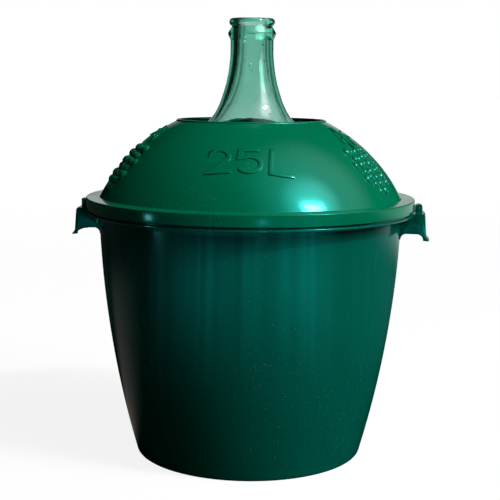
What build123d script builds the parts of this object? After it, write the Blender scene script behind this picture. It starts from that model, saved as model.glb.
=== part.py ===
"""A 25 litre glass demijohn in a moulded plastic basket.

Three real pieces: the blown glass bottle, the tub that it stands in, with two
carrying handles and two cover catches moulded on, and the domed cover, which
drops over the shoulder of the bottle and sits on the rim of the tub.
Millimetres, +Z up, origin on the floor under the middle of the bottle.
The handles lie along X, and the front of the basket faces -Y.
"""
from build123d import *
import os
from math import asin, cos, degrees, radians, sin, sqrt

# Tub wall
wall = 3.0                      # every moulded plastic wall
tub_foot_radius = 139.0         # outside, on the floor
tub_bulge = 9.4                 # how far the side bows out at half its height
tub_height = 296.5              # floor to the underside of the rim's ledge
foot_round = 4.0                # round of the outer bottom edge

# Tub floor
floor_recess = 4.5              # the floor plate stands this far off the ground
foot_rim = 6.0                  # width of the ring that the tub stands on
under_ring_radius = 62.0        # stiffening ring below the floor plate
under_rib_count = 8
under_rib_depth = 3.0
seat_rib_count = 12             # ribs on the floor that the bottle stands on
seat_rib_height = 2.5
seat_rib_overrun = 14.0         # ribs run on past the bottle's foot ring
rib_width = 2.5

# Rim of the tub and skirt of the cover
cover_radius = 200.0            # outside of the skirt
skirt_depth = 14.0              # flange top down to the skirt's lower edge
skirt_clearance = 0.6           # skirt to upstand
flange_play = 0.1               # flange to the top of the upstand
shadow_gap = 2.5                # ledge up to the skirt's lower edge
ledge_inset = 1.0               # ledge edge, inside the skirt's outer face
ledge_overhang = 15.6           # skirt's outer face to the tub's side
flange_round = 1.5              # round on the flange's outer edge

# Dome of the cover, part of a sphere
dome_overreach = 6.0            # the sphere's radius, beyond the skirt's
flange_width = 16.4             # skirt's outer face to the foot of the dome
opening_radius = 89.0           # hole that the neck stands in
opening_bead = 2.2              # radius of the bead round the hole

# Handles, curved with the rim
handle_half_length = 29.0       # half of the outer wall's length round the rim
handle_out = 13.0               # outer wall at the top, beyond the skirt
handle_lean = 2.0               # how much further out the wall is at the lip
handle_lip = 4.0                # flare of the lip beyond the wall
handle_lip_rise = 5.0           # height of the flared lip
handle_depth = 32.5             # top down to the lip's edge
handle_above_ledge = 1.2        # the grip's top stands above the ledge
handle_round = 3.5              # top outer edge
arch_rise = 8.0                 # height of the arch under each end web
arch_flat = 1.0                 # upright part of the arch, below its round

# Catches, standing on the handles beside the skirt
catch_half_length = 7.5         # half of its length round the rim
catch_clearance = 0.8           # catch to skirt, and handle to skirt
catch_thickness = 8.7
catch_below_flange = 6.0        # top of the catch, under the flange's top
catch_round_right = 3.8         # top edges of the right catch
catch_round_left = 0.9          # the left one has a square top

# Body of the bottle
side_clearance = 6.0            # bottle to the inside of the tub
heel_rise = 52.0                # foot up to where the side starts
turn_drop = 84.0                # flange top down to where the shoulder starts
foot_inset = 24.0               # tub's inside at the floor to the foot ring
foot_ring_width = 20.0
punt_rise = 17.0                # how far the bottom is pushed up
glass = 4.0                     # wall of the body
glass_base = 6.0                # wall of the foot

# Shoulder, neck and mouth
shoulder_rise = 17.0            # above the flange's top
shoulder_gap = 21.0             # shoulder to the inside of the dome
flare_drop = 19.9               # edge of the dome's hole down to where the neck starts
flare_inset = 14.0              # there, inside the hole's radius
flare_way = (-0.82, 0.57)       # direction of the outline there
mouth_rise = 121.4              # above the edge of the dome's hole
neck_radius = 25.9              # straight part below the collar
neck_low_rise = 26.5            # above the neck's start
neck_low_spread = 19.8          # beyond the straight part's radius
neck_middle_rise = 56.5
neck_middle_spread = 7.0
neck_high_drop = 30.0           # below the collar's foot
neck_high_spread = 1.1
neck_straight_length = 13.0
neck_wall = 7.9                 # glass round the bore, which takes a bung
bore_length = 44.0
collar_drop = 17.8              # mouth down to the collar's point
collar_depth = 7.0              # from its point down to the neck
collar_stand = 3.4              # how far it stands out
collar_round = 1.5
groove_drop = 8.8               # mouth down to the groove under the lip
groove_cut = 1.7
lip_drop = 3.8                  # mouth down to the lip's widest place
lip_stand = 1.6
lip_taper = 1.3                 # mouth's edge, inside the neck's radius

# Vine relief on the dome, one bunch towards each handle
cluster_azimuth = 67.5          # degrees from the front
cluster_rise = 75.5             # up the dome from the flange to the top row
grape_rows = (5, 5, 6, 5, 5, 4, 2)
grape_radius = 5.6
grape_sink = 2.4                # centre of a grape below the dome's surface
grape_pitch = 10.0              # along a row
grape_row_step = 9.7            # from row to row
grape_stagger = 2.5             # every other row is moved to this side
leaf_size = 25.0                # from the leaf's middle to its longest tip
leaf_side_step = 8.0            # leaf, from the bunch's middle line
leaf_rise = 26.0                # leaf, up from the top row
leaf_height = 1.8
stem_width = 4.0
stem_height = 3.2
stem_length = 44.0              # up from the top row
relief_root = 1.5               # how deep the relief is let into the wall

# Heights and radii that follow
ledge_top = tub_height + wall
skirt_low = ledge_top + shadow_gap
flange_top = skirt_low + skirt_depth
flange_under = flange_top - wall
upstand_top = flange_under - flange_play
skirt_inner = cover_radius - wall
ledge_radius = cover_radius - ledge_inset
tub_rim_radius = cover_radius - ledge_overhang
upstand_outer = skirt_inner - skirt_clearance
upstand_inner = upstand_outer - wall
floor_top = floor_recess + wall
bottle_foot = floor_top + seat_rib_height
dome_radius = cover_radius + dome_overreach
dome_base_radius = cover_radius - flange_width
dome_centre = flange_top - sqrt(dome_radius**2 - dome_base_radius**2)
dome_inner = dome_radius - wall
hole_top = dome_centre + sqrt(dome_radius**2 - opening_radius**2)
handle_reach = cover_radius + handle_out
handle_top = ledge_top + handle_above_ledge
handle_low = handle_top - handle_depth
handle_half_angle = degrees(asin(handle_half_length / handle_reach))
catch_inner = cover_radius + catch_clearance
catch_reach = catch_inner + catch_thickness
catch_top = flange_top - catch_below_flange
catch_half_angle = degrees(asin(catch_half_length / catch_reach))
foot_ring_outer = tub_foot_radius - wall - foot_inset
foot_ring_inner = foot_ring_outer - foot_ring_width
flare_height = hole_top - flare_drop
mouth_height = hole_top + mouth_rise
collar_height = mouth_height - collar_drop
collar_foot = collar_height - collar_depth
bore_radius = neck_radius - neck_wall
bore_low = mouth_height - bore_length
ABOVE = 60.0                    # how far cutting bodies run past what they cut


def turned(edges):
    """The solid that a closed half outline, radius against height, turns into."""
    return revolve(Plane.XZ * make_face(edges), Axis.Z)


def sector(face, half_angle):
    """The solid that a half outline sweeps, half_angle to each side of +X."""
    return Rot(0, 0, -half_angle) * revolve(Plane.XZ * face, Axis.Z, 2 * half_angle)


def drum(radius, low, high):
    """An upright cylinder on the middle line, between two heights."""
    return Pos(0, 0, (low + high) / 2) * Cylinder(radius, high - low)


def circles(shape, radius, height):
    """The round edges of that radius at that height."""
    return [
        edge for edge in shape.edges().filter_by(GeomType.CIRCLE)
        if abs(edge.radius - radius) < 1e-6 and abs(edge.center().Z - height) < 1e-6
    ]


def wall_curve(inset):
    """The bowed side of the tub, from the ground up, moved in by inset."""
    middle_radius = (tub_foot_radius + tub_rim_radius) / 2 + tub_bulge
    return ThreePointArc(
        (tub_foot_radius - inset, 0),
        (middle_radius - inset, tub_height / 2),
        (tub_rim_radius - inset, tub_height),
    )


def tub_inside():
    """The room inside the tub, from the floor plate up past the ledge."""
    side = wall_curve(wall)
    top = tub_height + ABOVE
    rest = Polyline(side @ 1, (tub_rim_radius - wall, top), (0, top), (0, 0), side @ 0)
    return turned([side, *rest.edges()]) - drum(tub_foot_radius, 0, floor_top)


def tub_shell():
    """Side, floor plate, ledge and upstand of the tub."""
    side = wall_curve(0)
    rest = Polyline(
        side @ 1,
        (ledge_radius, tub_height),
        (ledge_radius, ledge_top),
        (upstand_outer, ledge_top),
        (upstand_outer, upstand_top),
        (upstand_inner, upstand_top),
        (upstand_inner, ledge_top),
        (0, ledge_top),
        (0, 0),
        side @ 0,
    )
    body = turned([side, *rest.edges()])
    body = fillet(circles(body, tub_foot_radius, 0), foot_round)
    ledge_edges = circles(body, ledge_radius, tub_height)
    ledge_edges += circles(body, ledge_radius, ledge_top)
    body = fillet(ledge_edges, wall / 3)
    return body - tub_inside() - drum(tub_foot_radius - foot_rim, 0, floor_recess)


def floor_ribs():
    """Ribs under the floor plate, and the ribs that the bottle stands on."""
    rib_low = floor_recess - under_rib_depth
    rib_high = floor_recess + wall / 2
    ring = drum(under_ring_radius, rib_low, rib_high)
    ring -= drum(under_ring_radius - rib_width, rib_low, rib_high)
    spoke_from = under_ring_radius - rib_width / 2
    spoke_to = tub_foot_radius - foot_rim + wall / 2
    spoke = Box(spoke_to - spoke_from, rib_width, rib_high - rib_low)
    spoke = Pos((spoke_from + spoke_to) / 2, 0, (rib_low + rib_high) / 2) * spoke
    seat_length = foot_ring_width + 2 * seat_rib_overrun
    seat_depth = seat_rib_height + wall / 2
    seat = Box(seat_length, rib_width, seat_depth)
    seat_middle = (foot_ring_inner + foot_ring_outer) / 2
    seat = Pos(seat_middle, 0, bottle_foot - seat_depth / 2) * seat
    under = PolarLocations(0, under_rib_count)
    upper = PolarLocations(0, seat_rib_count, start_angle=180 / seat_rib_count)
    return [ring] + [at * spoke for at in under] + [at * seat for at in upper]


def grip_section(inset):
    """Half outline of a handle, radius against height, made smaller by inset."""
    low_reach = handle_reach + handle_lean
    root = tub_rim_radius - tub_bulge
    outline = Polyline(
        (root, handle_low),
        (low_reach + handle_lip - inset, handle_low),
        (low_reach - inset, handle_low + handle_lip_rise),
        (handle_reach - inset, handle_top - inset),
        (root, handle_top - inset),
        close=True,
    )
    face = make_face(outline)
    top_corner = face.vertices().group_by(Axis.Y)[-1].sort_by(Axis.X)[-1]
    return fillet(top_corner, handle_round - inset / 2)


def grip_hollow():
    """Half outline of the room under a handle's top, inside its outer wall.

    It stays clear of the ledge and of the riser between ledge and top.
    """
    beside_skirt = Rectangle(2 * (catch_inner + wall), 2 * (ledge_top - tub_height + handle_above_ledge))
    return grip_section(wall) - Pos(0, ledge_top + handle_above_ledge) * beside_skirt


def end_arch():
    """The arched room that the fingers go through, cut across both end webs."""
    arch_from = tub_rim_radius - 2 * wall
    arch_to = handle_reach - wall / 2
    block = Box(arch_to - arch_from, 4 * handle_half_length, 2 * arch_rise)
    block = Pos((arch_from + arch_to) / 2, 0, handle_low) * block
    return fillet(block.edges().filter_by(Axis.Y).group_by(Axis.Z)[-1], arch_rise - arch_flat)


def catch(top_round):
    """The short upright catch on a handle, let down into its top."""
    depth = catch_top - handle_top + wall
    outline = Pos((catch_inner + catch_reach) / 2, catch_top - depth / 2) * Rectangle(
        catch_thickness, depth
    )
    largest = 0.45 * catch_thickness
    outline = fillet(outline.vertices().group_by(Axis.Y)[-1], min(top_round, largest))
    return sector(outline, catch_half_angle)


def handle(top_round):
    """One grip on the +X side: top, outer wall with flared lip, two arched end webs."""
    hollow_angle = handle_half_angle - degrees(wall / handle_reach)
    grip = sector(grip_section(0), handle_half_angle)
    grip -= sector(grip_hollow(), hollow_angle)
    grip -= end_arch()
    grip -= drum(catch_inner, ledge_top, flange_top)
    grip -= tub_inside()
    return grip + catch(top_round)


def basket_tub():
    """The tub with its ribs and its two handles, one moulding."""
    seam_at_the_back = Rot(0, 0, 90) * tub_shell()
    tub = seam_at_the_back + floor_ribs()
    return tub + handle(catch_round_right) + Rot(0, 0, 180) * handle(catch_round_left)


def dome_point(side_way, rise):
    """A plane on the dome, Z outwards, Y up the dome.

    side_way is the distance round the dome from the bunch's middle line, and
    rise the distance up the dome from the flange.
    """
    latitude = asin((flange_top - dome_centre) / dome_radius) + rise / dome_radius
    azimuth = radians(cluster_azimuth) + side_way / (dome_radius * cos(latitude))
    out = Vector(
        cos(latitude) * sin(azimuth),
        -cos(latitude) * cos(azimuth),
        sin(latitude),
    )
    sideways = Vector(cos(azimuth), sin(azimuth), 0)
    centre = Vector(0, 0, dome_centre) + out * dome_radius
    return Plane(origin=centre, x_dir=sideways, z_dir=out)


def grapes():
    """The bunch on the right of the dome, a row at a time from the top."""
    made = []
    for row, count in enumerate(grape_rows):
        stagger = grape_stagger if row % 2 else -grape_stagger
        for place in range(count):
            side_way = (place - (count - 1) / 2) * grape_pitch + stagger
            spot = dome_point(side_way, cluster_rise - row * grape_row_step)
            made.append(spot * Pos(0, 0, -grape_sink) * Sphere(grape_radius))
    return made


def leaf_outline():
    """A vine leaf with five lobes, its longest tip along -Y."""
    tips = (1.0, 0.88, 0.7)
    notches = (0.68, 0.6, 0.42)
    step = radians(30)
    right = []
    for n, (tip, notch) in enumerate(zip(tips, notches)):
        right.append((tip * sin(2 * n * step), -tip * cos(2 * n * step)))
        right.append((notch * sin((2 * n + 1) * step), -notch * cos((2 * n + 1) * step)))
    left = [(-x, y) for x, y in reversed(right[1:])]
    points = [(leaf_size * x, leaf_size * y) for x, y in right + left]
    return make_face(Polyline(*points, close=True))


def raised_on_dome(face, place, height):
    """A flat outline, pressed straight onto the dome and raised by height."""
    prism = extrude(place * face, leaf_size, both=True)
    return prism & (Pos(0, 0, dome_centre) * Sphere(dome_radius + height))


def vine_relief():
    """Grapes, leaf and stem at the right of the dome, let into its wall."""
    leaf_place = dome_point(leaf_side_step, cluster_rise + leaf_rise)
    leaf = raised_on_dome(leaf_outline(), leaf_place, leaf_height)
    stem_place = dome_point(0, cluster_rise + stem_length / 2)
    stem_face = Rectangle(stem_width, stem_length)
    stem = raised_on_dome(stem_face, stem_place, stem_height)
    root = Pos(0, 0, dome_centre) * Sphere(dome_radius - relief_root)
    return [piece - root for piece in [*grapes(), leaf, stem]]


def dome_curve(radius, low_height):
    """The dome's outline, from the hole's edge down to a height."""
    top = (opening_radius, dome_centre + sqrt(radius**2 - opening_radius**2))
    low = (sqrt(radius**2 - (low_height - dome_centre) ** 2), low_height)
    chord_x = (top[0] + low[0]) / 2
    chord_y = (top[1] + low[1]) / 2 - dome_centre
    stretch = radius / sqrt(chord_x**2 + chord_y**2)
    return ThreePointArc(top, (chord_x * stretch, dome_centre + chord_y * stretch), low)


def cover_shell():
    """Dome, flange, skirt and the bead round the hole for the neck."""
    outside = dome_curve(dome_radius, flange_top)
    inside = dome_curve(dome_inner, flange_under)
    rim = Polyline(
        outside @ 1,
        (cover_radius, flange_top),
        (cover_radius, skirt_low),
        (skirt_inner, skirt_low),
        (skirt_inner, flange_under),
        inside @ 1,
    )
    edge = Line(inside @ 0, outside @ 0)
    shell = turned([outside, inside, edge, *rim.edges()])
    shell = fillet(circles(shell, cover_radius, flange_top), flange_round)
    bead_height = (outside @ 0).Y - opening_bead / 2
    return shell + Pos(0, 0, bead_height) * Torus(opening_radius, opening_bead)


def basket_cover():
    """The cover with the vine relief at its left and right, one moulding."""
    relief = vine_relief()
    mirrored = [mirror(piece, Plane.YZ) for piece in relief]
    return cover_shell() + relief + mirrored


def side_radius(height):
    """Outside radius of the bottle's side, which follows the tub."""
    circle = wall_curve(wall + side_clearance)
    level = Line((0, height), (2 * cover_radius, height))
    return circle.intersect(level).vertices()[0].X


def body_edges(inset, neck_inset, foot_height, neck_end):
    """Half outline of the bottle from the middle of its foot to the neck's end.

    inset is the wall of the body, and neck_inset that of the neck, which is thicker.
    """
    heel_height = bottle_foot + heel_rise
    turn_height = flange_top - turn_drop
    middle_height = (heel_height + turn_height) / 2
    heel, middle, turn = (
        (side_radius(height) - inset, height)
        for height in (heel_height, middle_height, turn_height)
    )
    side = ThreePointArc(heel, middle, turn)
    foot = (foot_ring_outer - inset, foot_height)
    ring = (foot_ring_inner - inset, foot_height)
    heel_curve = Spline(foot, heel, tangents=((1, 0), side % 0))
    out, up = flare_way[1] * inset, -flare_way[0] * inset
    shoulder_height = flange_top + shoulder_rise
    dome_width = sqrt(dome_inner**2 - (shoulder_height - dome_centre) ** 2)
    shoulder_place = (dome_width - shoulder_gap - up, shoulder_height - out)
    flare = (opening_radius - flare_inset - out, flare_height - up)
    shoulder = Spline(turn, shoulder_place, flare, tangents=(side % 1, flare_way))
    root_inset = (inset + neck_inset) / 2
    low = (
        neck_radius + neck_low_spread - 0.8 * root_inset,
        flare_height + neck_low_rise - 0.7 * root_inset,
    )
    middle = (
        neck_radius + neck_middle_spread - 0.95 * neck_inset,
        flare_height + neck_middle_rise - 0.3 * neck_inset,
    )
    high = (neck_radius + neck_high_spread - neck_inset, collar_foot - neck_high_drop)
    neck = Spline(flare, low, middle, high, neck_end, tangents=(flare_way, (0, 1)))
    punt_top = (0, foot_height + punt_rise)
    punt = ThreePointArc(punt_top, (ring[0] / 2, foot_height + 0.76 * punt_rise), ring)
    return [punt, Line(ring, foot), heel_curve, side, shoulder, neck]


def bottle_outside():
    """The bottle as if it were solid, with collar, groove and lip."""
    neck_end = (neck_radius, collar_foot - neck_straight_length)
    edges = body_edges(0, 0, bottle_foot, neck_end)
    collar_radius = neck_radius + collar_stand
    groove = (neck_radius - groove_cut, mouth_height - groove_drop)
    collar = Polyline(
        neck_end,
        (neck_radius, collar_foot),
        (collar_radius, collar_height),
        groove,
    )
    lip_top = (neck_radius - lip_taper, mouth_height)
    lip = ThreePointArc(groove, (neck_radius + lip_stand, mouth_height - lip_drop), lip_top)
    middle_line = Polyline(lip_top, (0, mouth_height), edges[0] @ 0)
    solid = turned([*edges, *collar.edges(), lip, *middle_line.edges()])
    return fillet(circles(solid, collar_radius, collar_height), collar_round)


def bottle_inside():
    """The room inside the bottle, out through the mouth."""
    bore_end = (bore_radius, bore_low)
    edges = body_edges(glass, neck_wall, bottle_foot + glass_base, bore_end)
    top = mouth_height + ABOVE
    middle_line = Polyline((bore_radius, bore_low), (bore_radius, top), (0, top), edges[0] @ 0)
    return turned([*edges, *middle_line.edges()])


def glass_bottle():
    """The blown bottle with its bored neck, pointed collar and round lip."""
    bottle = bottle_outside() - bottle_inside()
    return fillet(circles(bottle, bore_radius, mouth_height), collar_round)


if __name__ == "__main__":
    os.makedirs("parts", exist_ok=True)
    above_mouth = drum(bore_radius, mouth_height, mouth_height + ABOVE)
    litres = (bottle_inside().volume - above_mouth.volume) / 1e6
    print("the bottle holds", round(litres, 2), "litres to the brim")
    for name, piece in (
        ("glass_bottle", glass_bottle()),
        ("basket_tub", basket_tub()),
        ("basket_cover", basket_cover()),
    ):
        export_step(piece, f"parts/{name}.step")
        print(name, round(piece.volume / 1000, 1), "cubic centimetres")
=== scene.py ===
"""A glass demijohn in a glossy green plastic basket, dressed for the camera.

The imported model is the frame. Every piece here stands at the frame's origin in
metres, and rides on the body that carries it: the bottle and the tub on the
basket, the cover with its relief and its capacity mark on the cover.
"""
import logging
import math
import random
from dataclasses import dataclass, field
from enum import Enum

import bmesh
import bpy
from mathutils import Matrix, Vector, noise


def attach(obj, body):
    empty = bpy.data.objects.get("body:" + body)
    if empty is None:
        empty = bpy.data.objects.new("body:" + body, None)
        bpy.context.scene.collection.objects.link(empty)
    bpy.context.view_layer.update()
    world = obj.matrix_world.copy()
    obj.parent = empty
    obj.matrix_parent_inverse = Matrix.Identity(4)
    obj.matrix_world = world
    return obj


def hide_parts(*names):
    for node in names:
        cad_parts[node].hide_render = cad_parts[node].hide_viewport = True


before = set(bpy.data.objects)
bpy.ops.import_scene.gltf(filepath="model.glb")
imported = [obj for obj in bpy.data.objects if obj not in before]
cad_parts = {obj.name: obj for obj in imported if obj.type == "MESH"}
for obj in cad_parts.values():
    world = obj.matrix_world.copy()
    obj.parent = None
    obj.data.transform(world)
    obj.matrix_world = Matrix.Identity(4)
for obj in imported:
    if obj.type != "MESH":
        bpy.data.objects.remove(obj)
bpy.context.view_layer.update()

LOG = logging.getLogger("demijohn")
MM = 0.001
FULL_TURN = 2.0 * math.pi
Point = tuple[float, float]
Colour = tuple[float, float, float]
Mesh = bmesh.types.BMesh
Finish = bpy.types.Material
Socket = bpy.types.NodeSocket


class Body(Enum):
    """The moving bodies that pieces ride on."""

    BASKET = "basket"
    COVER = "cover"


class Slot(Enum):
    """Material slots of the record."""

    GLASS = "glass"
    TUB = "tub_plastic"
    COVER = "cover_plastic"


class Node(Enum):
    """Solids of the frame that the pieces stand for."""

    BOTTLE = "glass_bottle"
    TUB = "basket_tub"
    COVER = "basket_cover"


class Side(Enum):
    """Side of the basket, as a factor on X."""

    RIGHT = 1.0
    LEFT = -1.0


@dataclass
class Outline:
    """Outline of a turned piece, radius against height, in millimetres."""

    corners: list[tuple[float, float, float]] = field(default_factory=list)

    def to(self, radius: float, height: float, rounding: float = 0.0) -> "Outline":
        """Adds a straight run to a corner with a rounding; returns itself."""
        self.corners.append((radius, height, rounding))
        return self

    def arc(self, middle: Point, end: Point, steps: int, rounding: float = 0.0) -> "Outline":
        """Adds an arc from the last corner, through one point, to another.

        Args:
            middle: A point on the arc.
            end: The arc's end.
            steps: Number of runs that stand for the arc.
            rounding: Rounding of the corner at the end.

        Returns:
            The outline itself.
        """
        start = self.corners[-1][:2]
        centre = circle_centre(start, middle, end)
        radius = math.dist(centre, start)
        angles = [math.atan2(p[1] - centre[1], p[0] - centre[0]) for p in (start, middle, end)]
        first, through, last = angles
        turn = (last - first) % FULL_TURN
        if (through - first) % FULL_TURN > turn:
            turn -= FULL_TURN
        for step in range(1, steps):
            angle = first + turn * step / steps
            self.to(centre[0] + radius * math.cos(angle), centre[1] + radius * math.sin(angle))
        return self.to(end[0], end[1], rounding)

    def curve(self, points: list[Point], start_way: Point, end_way: Point, steps: int) -> "Outline":
        """Adds a smooth curve from the last corner through some points.

        Args:
            points: Points after the last corner, in order.
            start_way: Direction of the curve at its start.
            end_way: Direction of the curve at its end.
            steps: Number of runs between two points.

        Returns:
            The outline itself.
        """
        knots = [Vector(self.corners[-1][:2])] + [Vector(p) for p in points]
        ways = [Vector(start_way).normalized()]
        for before, here, after in zip(knots, knots[1:], knots[2:]):
            near, far = (here - before), (after - here)
            blend = near / near.length_squared + far / far.length_squared
            ways.append(blend.normalized())
        ways.append(Vector(end_way).normalized())
        for n in range(len(knots) - 1):
            span = (knots[n + 1] - knots[n]).length
            for step in range(1, steps + 1):
                t = step / steps
                place = (
                    (2 * t**3 - 3 * t**2 + 1) * knots[n]
                    + (t**3 - 2 * t**2 + t) * span * ways[n]
                    + (3 * t**2 - 2 * t**3) * knots[n + 1]
                    + (t**3 - t**2) * span * ways[n + 1]
                )
                self.to(place.x, place.y)
        return self

    def points(self, steps: int = 5) -> list[Point]:
        """The outline with its corners rounded.

        Args:
            steps: Number of runs in each rounding.

        Returns:
            Points in order.
        """
        made: list[Point] = []
        count = len(self.corners)
        for n, (x, y, rounding) in enumerate(self.corners):
            here = Vector((x, y))
            if rounding <= 0.0 or not 0 < n < count - 1:
                made.append((x, y))
                continue
            back = Vector(self.corners[n - 1][:2]) - here
            onward = Vector(self.corners[n + 1][:2]) - here
            half = back.angle(onward) / 2.0
            reach = min(rounding / math.tan(half), 0.49 * back.length, 0.49 * onward.length)
            for step in range(steps + 1):
                t = step / steps
                one, two = here + back.normalized() * reach, here + onward.normalized() * reach
                place = one * (1 - t) ** 2 + here * 2 * t * (1 - t) + two * t**2
                made.append((place.x, place.y))
        return made


def circle_centre(a: Point, b: Point, c: Point) -> Point:
    """Centre of the circle through three points."""
    d = 2 * (a[0] * (b[1] - c[1]) + b[0] * (c[1] - a[1]) + c[0] * (a[1] - b[1]))
    aa, bb, cc = (p[0] ** 2 + p[1] ** 2 for p in (a, b, c))
    x = (aa * (b[1] - c[1]) + bb * (c[1] - a[1]) + cc * (a[1] - b[1])) / d
    y = (aa * (c[0] - b[0]) + bb * (a[0] - c[0]) + cc * (b[0] - a[0])) / d
    return x, y


def moved(place: Point, inwards: float, down: float) -> Point:
    """A place moved towards the axis and down."""
    return place[0] - inwards, place[1] - down


def turned(points: list[Point], steps: int) -> Mesh:
    """Turns an open outline, whose ends lie on the axis or meet, once round.

    Args:
        points: Radius and height of each point, in millimetres.
        steps: Number of steps round.

    Returns:
        A closed mesh with its faces outwards.
    """
    bm = bmesh.new()
    verts = [bm.verts.new((x * MM, 0.0, z * MM)) for x, z in points]
    edges = [bm.edges.new(pair) for pair in zip(verts, verts[1:])]
    bmesh.ops.spin(
        bm, geom=verts + edges, cent=(0, 0, 0), axis=(0, 0, 1),
        angle=FULL_TURN, steps=steps, use_merge=True,
    )
    bmesh.ops.remove_doubles(bm, verts=bm.verts[:], dist=1e-6)
    bmesh.ops.recalc_face_normals(bm, faces=bm.faces[:])
    return bm


def turn_round(bm: Mesh, angle: float) -> None:
    """Turns a mesh about the axis by an angle in radians."""
    bmesh.ops.rotate(bm, cent=(0, 0, 0), matrix=Matrix.Rotation(angle, 3, "Z"), verts=bm.verts[:])


def swept(points: list[Point], half_angle: float, steps: int) -> Mesh:
    """Sweeps a closed outline to both sides of +X, with its ends closed.

    Args:
        points: Radius and height of each point, in millimetres.
        half_angle: Angle to each side, in radians.
        steps: Number of steps of the sweep.

    Returns:
        A closed mesh with its faces outwards.
    """
    bm = bmesh.new()
    face = bm.faces.new([bm.verts.new((x * MM, 0.0, z * MM)) for x, z in points])
    turn_round(bm, -half_angle)
    bmesh.ops.spin(
        bm, geom=[face, *face.edges, *face.verts], cent=(0, 0, 0), axis=(0, 0, 1),
        angle=2 * half_angle, steps=steps, use_merge=False,
    )
    bmesh.ops.recalc_face_normals(bm, faces=bm.faces[:])
    return bm


def soften(bm: Mesh, width: float, sharper_than: float = 50.0) -> None:
    """Bevels the sharp edges of a mesh.

    Args:
        bm: The mesh.
        width: Width of the bevel, in millimetres.
        sharper_than: Least angle between faces, in degrees.
    """
    limit = math.radians(sharper_than)
    edges = [e for e in bm.edges if e.is_manifold and e.calc_face_angle(0.0) > limit]
    bmesh.ops.bevel(
        bm, geom=edges, offset=width * MM, offset_type="OFFSET", affect="EDGES",
        segments=2, profile=0.5, material=-1, clamp_overlap=True,
    )


def bar(length: float, width: float, height: float, place: Vector, turn: float) -> Mesh:
    """A straight rib with softened edges.

    Args:
        length: Size along its own X, in millimetres.
        width: Size along its own Y.
        height: Size along Z.
        place: Its middle before it is turned about Z.
        turn: Angle about Z, in radians.

    Returns:
        The rib's mesh.
    """
    bm = bmesh.new()
    bmesh.ops.create_cube(bm, size=1.0)
    bmesh.ops.scale(bm, vec=Vector((length, width, height)) * MM, verts=bm.verts[:])
    soften(bm, 0.4)
    bmesh.ops.translate(bm, vec=place * MM, verts=bm.verts[:])
    turn_round(bm, turn)
    return bm


def joined(parts: list[Mesh]) -> Mesh:
    """Puts some meshes into one, and frees them."""
    whole = bmesh.new()
    for part in parts:
        spare = bpy.data.meshes.new("spare")
        part.to_mesh(spare)
        whole.from_mesh(spare)
        part.free()
        bpy.data.meshes.remove(spare)
    return whole


def finished(name: str, bm: Mesh, crease: float = 40.0) -> bpy.types.Object:
    """Makes an object at the origin out of a mesh, with smooth faces.

    Args:
        name: The piece's name.
        bm: Its mesh, which is freed.
        crease: Angle from which an edge stays sharp, in degrees.

    Returns:
        The object, linked to the scene.
    """
    mesh = bpy.data.meshes.new(name)
    bm.to_mesh(mesh)
    bm.free()
    mesh.shade_smooth()
    mesh.set_sharp_from_angle(angle=math.radians(crease))
    piece = bpy.data.objects.new(name, mesh)
    bpy.context.scene.collection.objects.link(piece)
    return piece


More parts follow.
